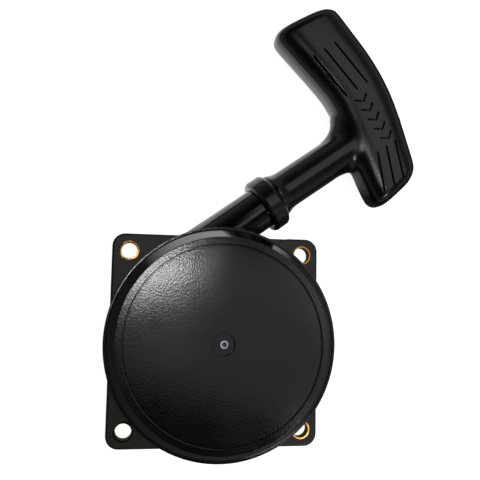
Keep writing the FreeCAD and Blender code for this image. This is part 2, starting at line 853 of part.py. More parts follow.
# Three lines above the chevrons and three below, all following the bar.
def engravedLines():
    lines = []
    for number in range(3):
        above = 5.7 * number
        below = 5.0 * number
        lines.append((Vector(105.4 + above, 19.4, 0), Vector(103.1 + above, 41.4, 0)))
        lines.append((Vector(102.6 + below, -8.9, 0), Vector(95.8 + 1.05 * below, -24.1, 0)))
    return lines


# A generic arrowhead mark that points along the bar.
def chevron(sketch, middle):
    reach = 3.2
    point = 2.2
    stroke = 1.1
    corners = [(-reach, 0), (0, -point), (reach, 0), (reach, stroke), (0, stroke - point), (-reach, stroke)]
    points = [middle + Vector(x, y, 0) for x, y in corners]
    for here, there in zip(points, points[1:] + points[:1]):
        sketch.addGeometry(Part.LineSegment(here, there), False)


def makeKnotPieces():
    pocket = size("pocketFloor")
    hole = size("washerHole")
    turnedOnRope("knot_washer", [
        (pocket, hole), (pocket, size("pocketRadius") - 0.4),
        (pocket + 1, size("pocketRadius") - 0.4), (pocket + 1, hole),
    ], gripFrame)
    knotStart = driving["knotStart"]
    ropeRadius = driving["ropeDiameter"] / 2
    loop = Part.makeTorus(2.1, ropeRadius, Vector(knotStart + ropeRadius, 0, 0), Vector(1, 0, 0))
    crossing = Part.makeTorus(2.1, ropeRadius, Vector(knotStart + ropeRadius + 2.2, 0, 0), Vector(1, 0, 0))
    tail = Part.makeCylinder(ropeRadius, 7.5, Vector(knotStart, 0, 0), Vector(1, 0, 0))
    shaped("rope_knot", loop.fuse([crossing, tail]).removeSplitter(), ropeFrame)
    outer = size("pocketRadius")
    turnedOnRope("grip_plug", [
        (118.6, 0), (118.6, outer - 1.4), (119.8, outer - 0.05), (122.4, outer - 0.05),
        (122.8, outer - 0.6), (123.1, 0),
    ], gripFrame)


# The straight run of rope from the reel to the knot in the grip.
def makeRopeLead():
    lead = doc.addObject("Part::Cylinder", "rope_lead")
    lead.Label = "rope_lead"
    bind(lead, "Radius", size("ropeDiameter") / 2)
    bind(lead, "Height", size("knotStart"))
    turned = Placement(Vector(0, 0, 0), Rotation(Vector(0, 1, 0), 90))
    lead.Placement = ropeFrame.multiply(turned)


makeCase()
makeFlangeBushes()
makePost()
makeRetainer()
makeReel()
makeReelBush()
makeThrustWasher()
makeRopeWinding()
makeCassette()
makeRecoilSpring()
makePawl("pawl_leading", False)
makePawl("pawl_trailing", True)
makePawlPins()
makeGuide()
makeFrictionSpring()
makeCollar()
makeEyelet()
makeGrip()
makeKnotPieces()
makeRopeLead()
doc.recompute()

subParts = [thing for thing in doc.Objects
            if thing.TypeId in ("PartDesign::Body", "Part::Feature", "Part::Cylinder")]
for thing in doc.Objects:
    if "Invalid" in thing.State or "Error" in thing.State:
        raise RuntimeError(f"{thing.Label} failed: {thing.State}")
for part in subParts:
    if part.Shape.isNull() or not part.Shape.isValid():
        raise RuntimeError(f"{part.Label} has no valid shape")
for part in subParts:
    part.Shape.exportStep(f"parts/{part.Label}.step")
    print(part.Label, len(part.Shape.Solids), round(part.Shape.Volume, 1))
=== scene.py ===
import json
import math
import bmesh
import bpy
from mathutils import Matrix, Vector


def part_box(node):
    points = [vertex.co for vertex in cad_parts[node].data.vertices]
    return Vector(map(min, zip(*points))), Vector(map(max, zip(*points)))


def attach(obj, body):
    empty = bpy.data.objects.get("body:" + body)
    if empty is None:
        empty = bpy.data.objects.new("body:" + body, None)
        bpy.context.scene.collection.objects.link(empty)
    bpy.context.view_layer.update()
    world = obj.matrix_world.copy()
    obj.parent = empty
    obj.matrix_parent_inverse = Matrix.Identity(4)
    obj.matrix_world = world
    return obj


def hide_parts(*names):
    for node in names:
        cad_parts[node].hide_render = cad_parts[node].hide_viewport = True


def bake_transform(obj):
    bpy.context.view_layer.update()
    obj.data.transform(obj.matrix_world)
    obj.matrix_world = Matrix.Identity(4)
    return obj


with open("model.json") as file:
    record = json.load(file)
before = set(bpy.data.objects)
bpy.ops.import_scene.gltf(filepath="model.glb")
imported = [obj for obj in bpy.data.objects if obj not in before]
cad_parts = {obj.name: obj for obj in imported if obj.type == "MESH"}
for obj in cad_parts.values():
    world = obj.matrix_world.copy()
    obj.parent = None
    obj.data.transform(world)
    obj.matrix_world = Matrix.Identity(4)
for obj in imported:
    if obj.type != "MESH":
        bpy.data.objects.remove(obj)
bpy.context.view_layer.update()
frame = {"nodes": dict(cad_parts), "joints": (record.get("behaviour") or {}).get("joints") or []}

mm = 0.001

# The rope's line: its direction is the pull joint's axis, its middle is the rope's straight run.
pullJoint = [joint for joint in frame["joints"] if joint["name"] == "handle_pull"][0]
along = Vector(pullJoint["axis"]).normalized()
across = Vector((-along.y, along.x, 0))
leadLow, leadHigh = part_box("rope_lead")
leadMiddle = (leadLow + leadHigh) / 2
ropeRadius = across.dot(leadMiddle)
ropeStart = across * ropeRadius + Vector((0, 0, leadMiddle.z))
leadLength = 2 * along.dot(leadMiddle - ropeStart)
ropeFrame = Matrix((
    (along.x, across.x, 0, ropeStart.x),
    (along.y, across.y, 0, ropeStart.y),
    (0, 0, 1, ropeStart.z),
    (0, 0, 0, 1),
))
print("rope line", round(leadLength / mm, 1), "mm long")


def deselectAll():
    if bpy.context.object and bpy.context.object.mode != "OBJECT":
        bpy.ops.object.mode_set(mode="OBJECT")
    bpy.ops.object.select_all(action="DESELECT")


def pick(piece):
    deselectAll()
    piece.select_set(True)
    bpy.context.view_layer.objects.active = piece


def applyModifier(piece, kind, **settings):
    pick(piece)
    modifier = piece.modifiers.new(kind.title(), kind)
    for key, value in settings.items():
        setattr(modifier, key, value)
    bpy.ops.object.modifier_apply(modifier=modifier.name)


def bakePlace(piece):
    pick(piece)
    bpy.ops.object.transform_apply(location=True, rotation=True, scale=True)


def smooth(piece, angle=40):
    pick(piece)
    bpy.ops.object.shade_smooth_by_angle(angle=math.radians(angle))


def removePiece(piece):
    bpy.data.objects.remove(piece, do_unlink=True)


# Mends a shell after a spin or a loft: merged points, normals outwards.
def closeShell(piece):
    pick(piece)
    bpy.ops.object.mode_set(mode="EDIT")
    bpy.ops.mesh.select_all(action="SELECT")
    bpy.ops.mesh.remove_doubles(threshold=0.00001)
    bpy.ops.mesh.normals_make_consistent(inside=False)
    bpy.ops.object.mode_set(mode="OBJECT")


# A round piece spun about the X axis from points (distance along, radius).
def spun(name, profile, steps=64):
    deselectAll()
    bpy.ops.mesh.primitive_plane_add(size=mm, location=(0, 0, 0))
    piece = bpy.context.object
    piece.name = name
    bpy.ops.object.mode_set(mode="EDIT")
    bpy.ops.mesh.select_all(action="SELECT")
    bpy.ops.mesh.merge(type="CENTER")
    previous = (0, 0)
    for number, (distance, radius) in enumerate(profile):
        move = ((distance - previous[0]) * mm, (radius - previous[1]) * mm, 0)
        if number == 0:
            bpy.ops.transform.translate(value=move)
        else:
            bpy.ops.mesh.extrude_region_move(TRANSFORM_OT_translate={"value": move})
        previous = (distance, radius)
    bpy.ops.mesh.select_all(action="SELECT")
    bpy.ops.mesh.spin(steps=steps, angle=math.tau, center=(0, 0, 0), axis=(1, 0, 0))
    bpy.ops.object.mode_set(mode="OBJECT")
    closeShell(piece)
    return piece


# A flat-ended cutter with the given plan, from one height down to another.
def prism(name, corners, top, bottom):
    deselectAll()
    bpy.ops.mesh.primitive_circle_add(vertices=len(corners), fill_type="NGON", location=(0, 0, 0))
    piece = bpy.context.object
    piece.name = name
    for vertex, (x, y) in zip(piece.data.vertices, corners):
        vertex.co = (x * mm, y * mm, bottom * mm)
    bpy.ops.object.mode_set(mode="EDIT")
    bpy.ops.mesh.select_all(action="SELECT")
    bpy.ops.mesh.extrude_region_move(TRANSFORM_OT_translate={"value": (0, 0, (top - bottom) * mm)})
    bpy.ops.object.mode_set(mode="OBJECT")
    closeShell(piece)
    return piece


def joinPieces(pieces):
    deselectAll()
    for piece in pieces:
        piece.select_set(True)
    bpy.context.view_layer.objects.active = pieces[0]
    bpy.ops.object.join()
    return pieces[0]


def colour(hexCode):
    channels = []
    for index in (0, 2, 4):
        value = int(hexCode[index:index + 2], 16) / 255
        channels.append(value / 12.92 if value <= 0.04045 else ((value + 0.055) / 1.055) ** 2.4)
    return (*channels, 1)


# One node with its settings and the links into it.
def addNode(tree, kind, settings=None, links=None):
    made = tree.nodes.new(kind)
    for key, value in (settings or {}).items():
        if isinstance(key, str) and hasattr(made, key):
            setattr(made, key, value)
        else:
            made.inputs[key].default_value = value
    for key, source in (links or {}).items():
        tree.links.new(source, made.inputs[key])
    return made


def newMaterial(name):
    material = bpy.data.materials.new(name)
    material.use_nodes = True
    tree = material.node_tree
    shader = tree.nodes["Principled BSDF"]
    return material, tree, shader


finish = {
    "cloudSize": 22.0,                       # flow clouds in moulded nylon, mm across
    "flangeTop": 5.6,                        # the rougher plate ends at this height
    "tubeRadius": 9.6, "tubeFrom": 24.0,     # the polished tube: its radius, its start on the rope
    "stainSize": 4.2,                        # patches of duller metal, mm across
    "yarnSize": 0.25, "greyingSize": 14.0,   # rope yarns and worn stretches, mm across
}


# Glass-filled nylon moulded against a spark-eroded tool: near black, with an even grain that
# breaks the highlight into sparkles, and faint flow clouds. The grain is drawn two or three
# times as coarse as the real one, so that it shows. zones are (mask, roughness) pairs.
def mouldedNylon(name, base, light, grainSize, roughLow, roughHigh, bumpDepth, zones=()):
    material, tree, shader = newMaterial(name)
    place = addNode(tree, "ShaderNodeTexCoord").outputs["Object"]
    clouds = addNode(tree, "ShaderNodeTexNoise",
                     {"Scale": 1 / (finish["cloudSize"] * mm), "Detail": 3.0, "Roughness": 0.55},
                     {"Vector": place}).outputs["Fac"]
    grain = 1 / (grainSize * mm)
    fine = addNode(tree, "ShaderNodeTexNoise", {"Scale": grain, "Detail": 3.0, "Roughness": 0.6},
                   {"Vector": place}).outputs["Fac"]
    pits = addNode(tree, "ShaderNodeTexVoronoi", {"Scale": grain * 0.7},
                   {"Vector": place}).outputs["Distance"]
    shade = addNode(tree, "ShaderNodeMapRange", {"From Min": 0.3, "From Max": 0.75},
                    {"Value": clouds}).outputs["Result"]
    tint = addNode(tree, "ShaderNodeMix", {"data_type": "RGBA", 6: colour(base), 7: colour(light)},
                   {0: shade}).outputs[2]
    tree.links.new(tint, shader.inputs["Base Color"])
    rough = addNode(tree, "ShaderNodeMapRange", {"From Min": 0.3, "From Max": 0.7,
                                                 "To Min": roughLow, "To Max": roughHigh},
                    {"Value": clouds}).outputs["Result"]
    for maskOf, zoneRough in zones:
        rough = addNode(tree, "ShaderNodeMix", {"data_type": "FLOAT", 3: zoneRough},
                        {0: maskOf(tree, place), 2: rough}).outputs[0]
    tree.links.new(rough, shader.inputs["Roughness"])
    height = addNode(tree, "ShaderNodeMath", {"operation": "MULTIPLY_ADD", 1: 0.6},
                     {0: fine, 2: pits}).outputs["Value"]
    bump = addNode(tree, "ShaderNodeBump", {"Strength": 1.0, "Distance": bumpDepth * mm},
                   {"Height": height})
    tree.links.new(bump.outputs["Normal"], shader.inputs["Normal"])
    shader.inputs["IOR"].default_value = 1.5
    return material


# 1 on the flange's plate, 0 from the drum's wall upwards.
def flangeZone(tree, place):
    height = addNode(tree, "ShaderNodeSeparateXYZ", links={"Vector": place}).outputs["Z"]
    return addNode(tree, "ShaderNodeMath", {"operation": "LESS_THAN", 1: finish["flangeTop"] * mm},
                   {0: height}).outputs["Value"]


# 1 on the rope tube, which the tool's round slide leaves polished.
def tubeZone(tree, place):
    mapping = addNode(tree, "ShaderNodeMapping", {"vector_type": "POINT"}, {"Vector": place})
    inverse = ropeFrame.inverted()
    mapping.inputs["Location"].default_value = inverse.to_translation()
    mapping.inputs["Rotation"].default_value = inverse.to_euler()
    parts = addNode(tree, "ShaderNodeSeparateXYZ", links={"Vector": mapping.outputs["Vector"]})
    square = addNode(tree, "ShaderNodeMath", {"operation": "MULTIPLY"},
                     {0: parts.outputs["Y"], 1: parts.outputs["Y"]}).outputs["Value"]
    fromAxis = addNode(tree, "ShaderNodeMath", {"operation": "MULTIPLY_ADD"},
                       {0: parts.outputs["Z"], 1: parts.outputs["Z"], 2: square}).outputs["Value"]
    near = addNode(tree, "ShaderNodeMath",
                   {"operation": "LESS_THAN", 1: (finish["tubeRadius"] * mm) ** 2}, {0: fromAxis})
    beyond = addNode(tree, "ShaderNodeMath",
                     {"operation": "GREATER_THAN", 1: finish["tubeFrom"] * mm},
                     {0: parts.outputs["X"]})
    return addNode(tree, "ShaderNodeMath", {"operation": "MULTIPLY"},
                   {0: near.outputs["Value"], 1: beyond.outputs["Value"]}).outputs["Value"]


# Metals: turned, pressed or blued, with the fine lines that the tool left, lineSize mm apart,
# and patches of duller plating that keep a wide face from looking like one flat tone.
def workedMetal(name, base, dark, roughLow, roughHigh, lineSize, lineStretch, bumpDepth):
    material, tree, shader = newMaterial(name)
    place = addNode(tree, "ShaderNodeTexCoord").outputs["Object"]
    mapping = addNode(tree, "ShaderNodeMapping", {"Scale": lineStretch}, {"Vector": place})
    lines = addNode(tree, "ShaderNodeTexNoise",
                    {"Scale": 1 / (lineSize * mm), "Detail": 4.0, "Roughness": 0.65},
                    {"Vector": mapping.outputs["Vector"]}).outputs["Fac"]
    stains = addNode(tree, "ShaderNodeTexNoise",
                     {"Scale": 1 / (finish["stainSize"] * mm), "Detail": 2.0},
                     {"Vector": place}).outputs["Fac"]
    shade = addNode(tree, "ShaderNodeMapRange", {"From Min": 0.32, "From Max": 0.62},
                    {"Value": stains}).outputs["Result"]
    tint = addNode(tree, "ShaderNodeMix", {"data_type": "RGBA", 6: colour(dark), 7: colour(base)},
                   {0: shade}).outputs[2]
    tree.links.new(tint, shader.inputs["Base Color"])
    rough = addNode(tree, "ShaderNodeMapRange", {"From Min": 0.3, "From Max": 0.7,
                                                 "To Min": roughLow, "To Max": roughHigh},
                    {"Value": lines}).outputs["Result"]
    tree.links.new(rough, shader.inputs["Roughness"])
    bump = addNode(tree, "ShaderNodeBump", {"Strength": 0.5, "Distance": bumpDepth * mm},
                   {"Height": lines})
    tree.links.new(bump.outputs["Normal"], shader.inputs["Normal"])
    shader.inputs["Metallic"].default_value = 1.0
    return material


# Sixteen-strand nylon starter rope: off-white with a dull silky sheen, soft greying from
# handling, and yarns that run along the rope's own map.
def braidedNylon():
    material, tree, shader = newMaterial("braidedNylonRope")
    mapped = addNode(tree, "ShaderNodeUVMap").outputs["UV"]
    drawn = addNode(tree, "ShaderNodeMapping", {"Scale": (0.35, 1, 1)}, {"Vector": mapped})
    yarns = addNode(tree, "ShaderNodeTexNoise",
                    {"Scale": 1 / (finish["yarnSize"] * mm), "Detail": 2.0},
                    {"Vector": drawn.outputs["Vector"]}).outputs["Fac"]
    handling = addNode(tree, "ShaderNodeTexNoise",
                       {"Scale": 1 / (finish["greyingSize"] * mm), "Detail": 3.0},
                       {"Vector": mapped}).outputs["Fac"]
    shade = addNode(tree, "ShaderNodeMapRange", {"From Min": 0.3, "From Max": 0.65},
                    {"Value": handling}).outputs["Result"]
    tint = addNode(tree, "ShaderNodeMix",
                   {"data_type": "RGBA", 6: colour("b4b0a2"), 7: colour("e2dfd3")},
                   {0: shade}).outputs[2]
    tree.links.new(tint, shader.inputs["Base Color"])
    rough = addNode(tree, "ShaderNodeMapRange", {"To Min": 0.62, "To Max": 0.82},
                    {"Value": yarns}).outputs["Result"]
    tree.links.new(rough, shader.inputs["Roughness"])
    bump = addNode(tree, "ShaderNodeBump", {"Strength": 0.6, "Distance": 0.05 * mm},
                   {"Height": yarns})
    tree.links.new(bump.outputs["Normal"], shader.inputs["Normal"])
    shader.inputs["Sheen Weight"].default_value = 0.25
    return material


# The case is glossy with a rougher plate and a polished tube; the grip is satin.
caseNylon = mouldedNylon("caseNylon", "08080a", "111214", 0.55, 0.11, 0.17, 0.012,
                         [(flangeZone, 0.42), (tubeZone, 0.07)])
collarNylon = mouldedNylon("collarNylon", "060607", "0b0b0c", 0.5, 0.22, 0.3, 0.006)
gripNylon = mouldedNylon("gripNylon", "060607", "0c0c0d", 0.5, 0.20, 0.27, 0.006)
reelNylon = mouldedNylon("reelNylon", "1b1c1f", "26282c", 0.5, 0.38, 0.5, 0.008)
# Brass is bright and warm, zinc cool and silky, blued spring steel dark, sintered bronze dull.
bushBrass = workedMetal("turnedBrass", "b98a45", "7d5a2a", 0.07, 0.14, 1.1, (1, 1, 6), 0.003)
zincSteel = workedMetal("zincPlatedSteel", "b9bcc2", "85888f", 0.25, 0.42, 0.83, (1, 1, 4), 0.01)
pressedSteel = workedMetal("pressedZincSteel", "aeb1b6", "7b7e84", 0.3, 0.48, 1.4, (4, 1, 1), 0.01)
bluedSteel = workedMetal("bluedSpringSteel", "3c4658", "23283a", 0.22, 0.4, 1.1, (1, 1, 8), 0.01)
sinteredBronze = workedMetal("sinteredBronze", "a97b4a", "6f4d2c", 0.4, 0.6, 0.38, (1, 1, 1), 0.02)
ropeBraid = braidedNylon()
print("materials made")

nodeMaterials = {
    "starter_case": caseNylon, "rope_guide": collarNylon, "grip": gripNylon, "grip_plug": gripNylon,
    "flange_bushes": bushBrass, "centre_post": zincSteel, "retaining_screw": zincSteel,
    "retaining_washer": pressedSteel, "thrust_washer": pressedSteel, "spring_cassette": pressedSteel,
    "knot_washer": pressedSteel, "pawl_guide": pressedSteel, "pawl_leading": pressedSteel,
    "pawl_trailing": pressedSteel, "pawl_pins": zincSteel, "rope_eyelet": zincSteel,
    "recoil_spring": bluedSteel, "friction_spring": bluedSteel, "reel_bush": sinteredBronze,
    "rope_reel": reelNylon, "rope_winding": ropeBraid, "rope_knot": ropeBraid, "rope_lead": ropeBraid,
}
for nodeName, material in nodeMaterials.items():
    slots = frame["nodes"][nodeName].material_slots
    for materialSlot in slots:
        materialSlot.material = material


studio = {
    # The floor's colour in reflections and bounce light is a painted dark
    "floorSize": 6.0, "floorColour": "f2f2f2", "floorPaintedDarkInReflections": "303030", "floorGlow": 0.92,
    # A painted glowing patch beside the grip, seen only in reflections and bounce light
    "paintedGlowCentre": (0.0, 0.115, 0), "paintedGlowNear": 0.05, "paintedGlowFar": 0.08, "paintedGlowHigh": 1.5, "paintedGlowLow": 0.05,
    "backdrop": "f7f7f7", "roomLow": "b4b5b7", "roomMiddle": "6a6b6d", "roomHigh": "0c0d0e",
    "middleHeight": 0.5, "highHeight": 0.82,
    "cameraPlace": (-0.035308, 0.01621, 0.274969),
    "cameraTurn": (5.6312, -9.6197, 1.0446),
    "cameraLens": 46.67,
}

# name, place, aim, turn about the beam, size across and down, watts
lamps = [
    ("overheadStrip", (0.004, 0.075, 1.03), (-0.03, 0.026, 0.033), -35, (0.03, 0.14), 0.62),
    ("sideWindow", (0.40, -0.54, 0.72), (0.03, 0.05, 0.0), 0, (0.30, 0.20), 1.7),
    ("cornerGlint", (0.34, -0.26, 1.05), (0.038, -0.038, 0.006), 0, (0.05, 0.05), 0.05),
    ("discFill", (0.26, -0.06, 1.2), (0.03, 0.0, 0.03), 0, (0.34, 0.62), 0.34),
    ("broadTop", (0.60, 0.42, 1.25), (0.0, 0.02, 0.0), 0, (0.90, 0.80), 2.0),
]


# White paper to the camera, glowing evenly so that no hard shadow falls. Seen from the object, in
# reflections and bounce light, the floor is painted dark, with a painted glowing patch beside the grip
# that the grip mirrors.
def makeFloor():
    deselectAll()
    bpy.ops.mesh.primitive_plane_add(size=studio["floorSize"], location=(0, 0, -0.2 * mm))
    floor = bpy.context.object
    floor.name = "floor"
    bakePlace(floor)
    material, tree, shader = newMaterial("paleFloor")
    shader.inputs["Roughness"].default_value = 0.8
    shader.inputs["Specular IOR Level"].default_value = 0.0
    shader.inputs["Emission Color"].default_value = (1, 1, 1, 1)
    place = addNode(tree, "ShaderNodeTexCoord").outputs["Object"]
    # Painted glow: strong close beside the grip, faint further out
    centre = addNode(tree, "ShaderNodeVectorMath", {"operation": "DISTANCE", 1: studio["paintedGlowCentre"]},
                     {0: place}).outputs["Value"]
    glow = addNode(tree, "ShaderNodeMapRange",
                   {"From Min": studio["paintedGlowNear"], "From Max": studio["paintedGlowFar"],
                    "To Min": studio["paintedGlowHigh"], "To Max": studio["paintedGlowLow"]},
                   {"Value": centre}).outputs["Result"]
    # The camera sees the even glow; reflections and bounce light see the painted glowing patch
    seen = addNode(tree, "ShaderNodeLightPath").outputs["Is Camera Ray"]
    strength = addNode(tree, "ShaderNodeMix", {"data_type": "FLOAT", 3: studio["floorGlow"]},
                       {0: seen, 2: glow}).outputs[0]
    tree.links.new(strength, shader.inputs["Emission Strength"])
    # Pale to the camera; painted dark in reflections and bounce light
    paper = addNode(tree, "ShaderNodeMix", {"data_type": "RGBA", 6: colour(studio["floorPaintedDarkInReflections"]),
                                            7: colour(studio["floorColour"])}, {0: seen})
    tree.links.new(paper.outputs[2], shader.inputs["Base Color"])
    floor.data.materials.append(material)


# A dim room behind a pale backdrop: level faces mirror the dim ceiling, the view past the
# object is the backdrop.
def makeRoom():
    world = bpy.data.worlds.new("dimRoom")
    bpy.context.scene.world = world
    world.use_nodes = True
    tree = world.node_tree
    direction = addNode(tree, "ShaderNodeTexCoord").outputs["Generated"]
    height = addNode(tree, "ShaderNodeSeparateXYZ", links={"Vector": direction}).outputs["Z"]
    shades = addNode(tree, "ShaderNodeValToRGB", links={"Fac": height})
    stops = shades.color_ramp.elements
    stops.new(studio["middleHeight"])
    for stop, place, shade in zip(stops, (0.0, studio["middleHeight"], studio["highHeight"]),
                                  ("roomLow", "roomMiddle", "roomHigh")):
        stop.position = place
        stop.color = colour(studio[shade])
    seen = addNode(tree, "ShaderNodeLightPath").outputs["Is Camera Ray"]
    mixed = addNode(tree, "ShaderNodeMix", {"data_type": "RGBA", 7: colour(studio["backdrop"])},
                    {0: seen, 6: shades.outputs["Color"]})
    tree.links.new(mixed.outputs[2], tree.nodes["Background"].inputs["Color"])


def makeLamps():
    for name, place, aim, turn, size, watts in lamps:
        light = bpy.data.lights.new(name, "AREA")
        light.shape = "RECTANGLE"
        light.size, light.size_y = size
        light.energy = watts
        lamp = bpy.data.objects.new(name, light)
        bpy.context.scene.collection.objects.link(lamp)
        lamp.location = place
        beam = (Vector(aim) - Vector(place)).to_track_quat("-Z", "Y").to_matrix()
        lamp.rotation_euler = (beam @ Matrix.Rotation(math.radians(turn), 3, "Z")).to_euler()


def makeCamera():
    camera = bpy.data.cameras.new("camera")
    camera.lens = studio["cameraLens"]
    camera.clip_start = 0.01
    viewer = bpy.data.objects.new("camera", camera)
    bpy.context.scene.collection.objects.link(viewer)
    viewer.location = studio["cameraPlace"]
    viewer.rotation_euler = [math.radians(angle) for angle in studio["cameraTurn"]]
    bpy.context.scene.camera = viewer


grip = {
    "tilt": -0.6, "pivot": 110.0,                 # how it hangs on the rope
    "halfDepth": 9.5, "section": 2.9,             # half thickness and squareness of the bar
    "fingerSide": [(88.9, -30.6), (90.3, -20.5), (91.9, -10.5), (94.2, 0.0), (97.2, 10.0),
                   (99.0, 21.0), (98.2, 31.0), (96.7, 41.0), (95.2, 51.0), (93.8, 60.6)],
    "outerSide": [(115.2, -27.0), (118.2, -18.0), (121.3, -8.5), (124.2, 1.0), (126.4, 10.5),
                  (127.7, 20.5), (128.0, 31.0), (127.5, 40.5), (126.9, 49.5), (126.4, 57.6)],
    "stationStep": 10.0, "endRound": 6.8, "endRoundDepth": 5.2,
    "ringPoints": 56, "steps": 5,
    "stem": [(55.3, 0.0), (55.3, 9.55), (55.6, 9.85), (56.5, 9.75), (57.9, 9.15), (59.9, 8.55),
             (62.3, 8.35), (104.0, 8.35), (104.0, 0.0)],
    "neck": [(80.0, 0.0), (80.0, 7.6), (86.0, 8.6), (90.5, 9.7), (93.6, 11.3), (95.8, 13.4),
             (97.2, 16.0), (99.5, 16.6), (99.5, 0.0)],
    "neckFlat": 0.48,                             # the neck flares sideways only
    "voxel": 0.45, "junction": 11.0, "junctionPlace": 93.5, "junctionLean": 0.14,
    "junctionRounds": 260, "skinRounds": 3,       # how often the smoothing passes over each
    "bore": [(50.0, 0.0), (50.0, 3.3), (106.0, 3.3), (106.0, 5.6), (140.0, 5.6), (140.0, 0.0)],
    "lineWidth": 0.95, "markFloor": 7.9, "fallAway": 0.5,
    # line ends and the steps from line to line
    "upperStart": (105.4, 19.4), "upperEnd": (103.1, 41.4), "upperStep": 5.7,
    "lowerStart": (102.6, -8.9), "lowerEnd": (95.8, -24.1), "lowerStep": 5.0, "lowerSpread": 1.05,
    "chevronFirst": (110.4, 14.8), "chevronStep": 4.9,
    "chevron": [(-3.2, 0.0), (0.0, -2.2), (3.2, 0.0), (3.2, 1.15), (0.0, -1.05), (-3.2, 1.15)],
}


# A point on a smooth curve through the stations; place 2.5 is halfway from the third to the fourth.
def alongCurve(stations, place):
    index = min(int(place), len(stations) - 2)
    part = place - index
    near = Vector(stations[index])
    far = Vector(stations[index + 1])
    before = Vector(stations[index - 1]) if index > 0 else near * 2 - far
    after = Vector(stations[index + 2]) if index + 2 < len(stations) else far * 2 - near
    slopeNear = (far - before) / 2
    slopeFar = (after - near) / 2
    square, cube = part ** 2, part ** 3
    return (near * (2 * cube - 3 * square + 1) + slopeNear * (cube - 2 * square + part)
            + far * (3 * square - 2 * cube) + slopeFar * (cube - square))


# How far a rounded end draws in at a distance from it.
def endDraw(distance, radius):
    reach = max(radius - distance, 0)
    return radius - math.sqrt(radius ** 2 - reach ** 2)


# The bar is a ring of points extruded from station to station; near both ends the ring draws in.
def makeBar():
    last = len(grip["fingerSide"]) - 1
    spacing = grip["stationStep"]
    inner = [step / grip["steps"] for step in range(last * grip["steps"] + 1)]
    ends = [grip["endRound"] / spacing * (1 - math.cos(math.radians(15 * step))) for step in range(6)]
    rounded = grip["endRound"] / spacing
    places = sorted(set(ends + [last - end for end in ends]
                        + [place for place in inner if rounded < place < last - rounded]))
    rings = []
    for place in places:
        finger = alongCurve(grip["fingerSide"], place)
        outer = alongCurve(grip["outerSide"], place)
        fromEnd = min(place, last - place) * spacing
        inward = (outer - finger).normalized() * endDraw(fromEnd, grip["endRound"])
        depth = grip["halfDepth"] - endDraw(fromEnd, grip["endRoundDepth"])
        rings.append((finger + inward, outer - inward, depth))
    deselectAll()
    bpy.ops.mesh.primitive_circle_add(vertices=grip["ringPoints"], fill_type="NGON", location=(0, 0, 0))
    bar = bpy.context.object
    bar.name = "gripBody"
    bpy.ops.object.mode_set(mode="EDIT")
    bpy.ops.mesh.select_all(action="SELECT")
    shape = bmesh.from_edit_mesh(bar.data)
    for number, (finger, outer, depth) in enumerate(rings):
        if number > 0:
            bpy.ops.mesh.extrude_region_move()
        middle = (finger + outer) / 2
        half = (outer - finger) / 2
        ring = [vertex for vertex in shape.verts if vertex.select]
        for index, vertex in enumerate(ring):
            angle = math.tau * index / len(ring)
            wide = math.copysign(abs(math.cos(angle)) ** (2 / grip["section"]), math.cos(angle))
            high = math.copysign(abs(math.sin(angle)) ** (2 / grip["section"]), math.sin(angle))
            spot = middle + half * wide
            vertex.co = Vector((spot.x, spot.y, depth * high)) * mm
        bmesh.update_edit_mesh(bar.data)
    bpy.ops.object.mode_set(mode="OBJECT")
    closeShell(bar)
    return bar


# A slot with round ends between two points.
def slotPlan(start, end, width):
    start, end = Vector(start), Vector(end)
    direction = (end - start).normalized()
    facing = math.atan2(direction.y, direction.x)
    corners = []
    for middle, turn in ((end, -90), (start, 90)):
        for step in range(7):
            angle = facing + math.radians(turn + 30 * step)
            corners.append((middle.x + width / 2 * math.cos(angle),
                            middle.y + width / 2 * math.sin(angle)))
    return corners


# Three lines above the arrowheads and three below, all following the bar.
def makeMarks():
    high = grip["halfDepth"] + 1
    floor = grip["markFloor"]
    upperStart, upperEnd = Vector(grip["upperStart"]), Vector(grip["upperEnd"])
    lowerStart, lowerEnd = Vector(grip["lowerStart"]), Vector(grip["lowerEnd"])
    cutters = []
    for number in range(3):
        above = Vector((grip["upperStep"] * number, 0))
        below = Vector((grip["lowerStep"] * number, 0))
        upper = slotPlan(upperStart + above, upperEnd + above, grip["lineWidth"])
        lower = slotPlan(lowerStart + below, lowerEnd + below * grip["lowerSpread"], grip["lineWidth"])
        deeper = floor - grip["fallAway"] * (2 - number)    # the front falls away on this side
        cutters += [prism("mark", upper, high, deeper), prism("mark", lower, high, floor)]
    firstX, firstY = grip["chevronFirst"]
    for number in range(5):
        level = firstY - grip["chevronStep"] * number
        plan = [(firstX + x, level + y) for x, y in grip["chevron"]]
        cutters.append(prism("mark", plan, high, floor))
    return joinPieces(cutters)


